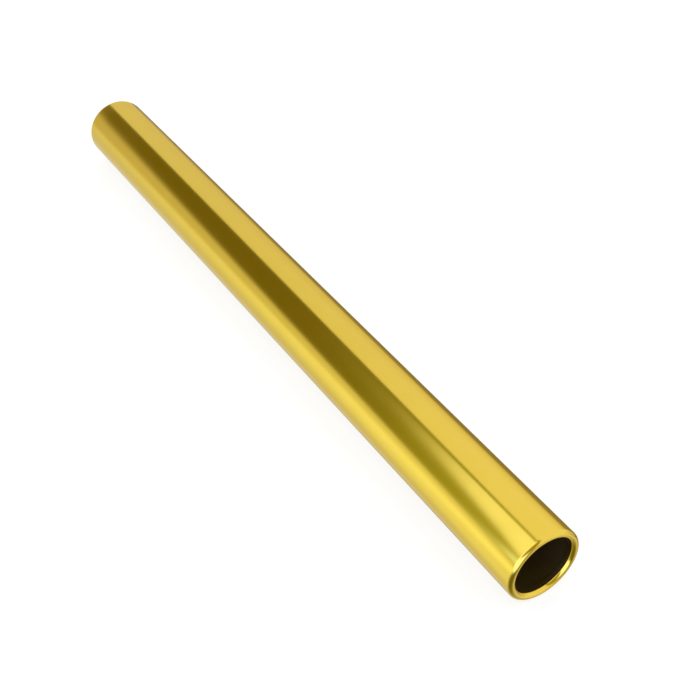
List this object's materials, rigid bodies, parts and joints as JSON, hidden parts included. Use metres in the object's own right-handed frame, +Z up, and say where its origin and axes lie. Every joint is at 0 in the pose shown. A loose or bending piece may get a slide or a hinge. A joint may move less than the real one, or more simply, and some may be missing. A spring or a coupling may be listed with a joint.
{
  "type": "relay baton",
  "caption": "Slim hollow relay baton: a straight gold-anodised aluminium tube, open from end to end, with both rims rolled inwards to a smooth round bead.",
  "frame": {"origin": "on the surface that the baton lies on, straight below the middle of the tube", "axes": "+X along the tube's axis (both ends are alike), +Z up, +Y to the side by the right-hand rule"},
  "size_m": [0.29, 0.025, 0.025],
  "materials": {
    "gold_anodised_aluminium": "polished and gold anodised, glossy, with a faint drawn grain along the tube"
  },
  "bodies": {
    "root": {"baton_tube": "gold_anodised_aluminium"}
  },
  "joints": []
}
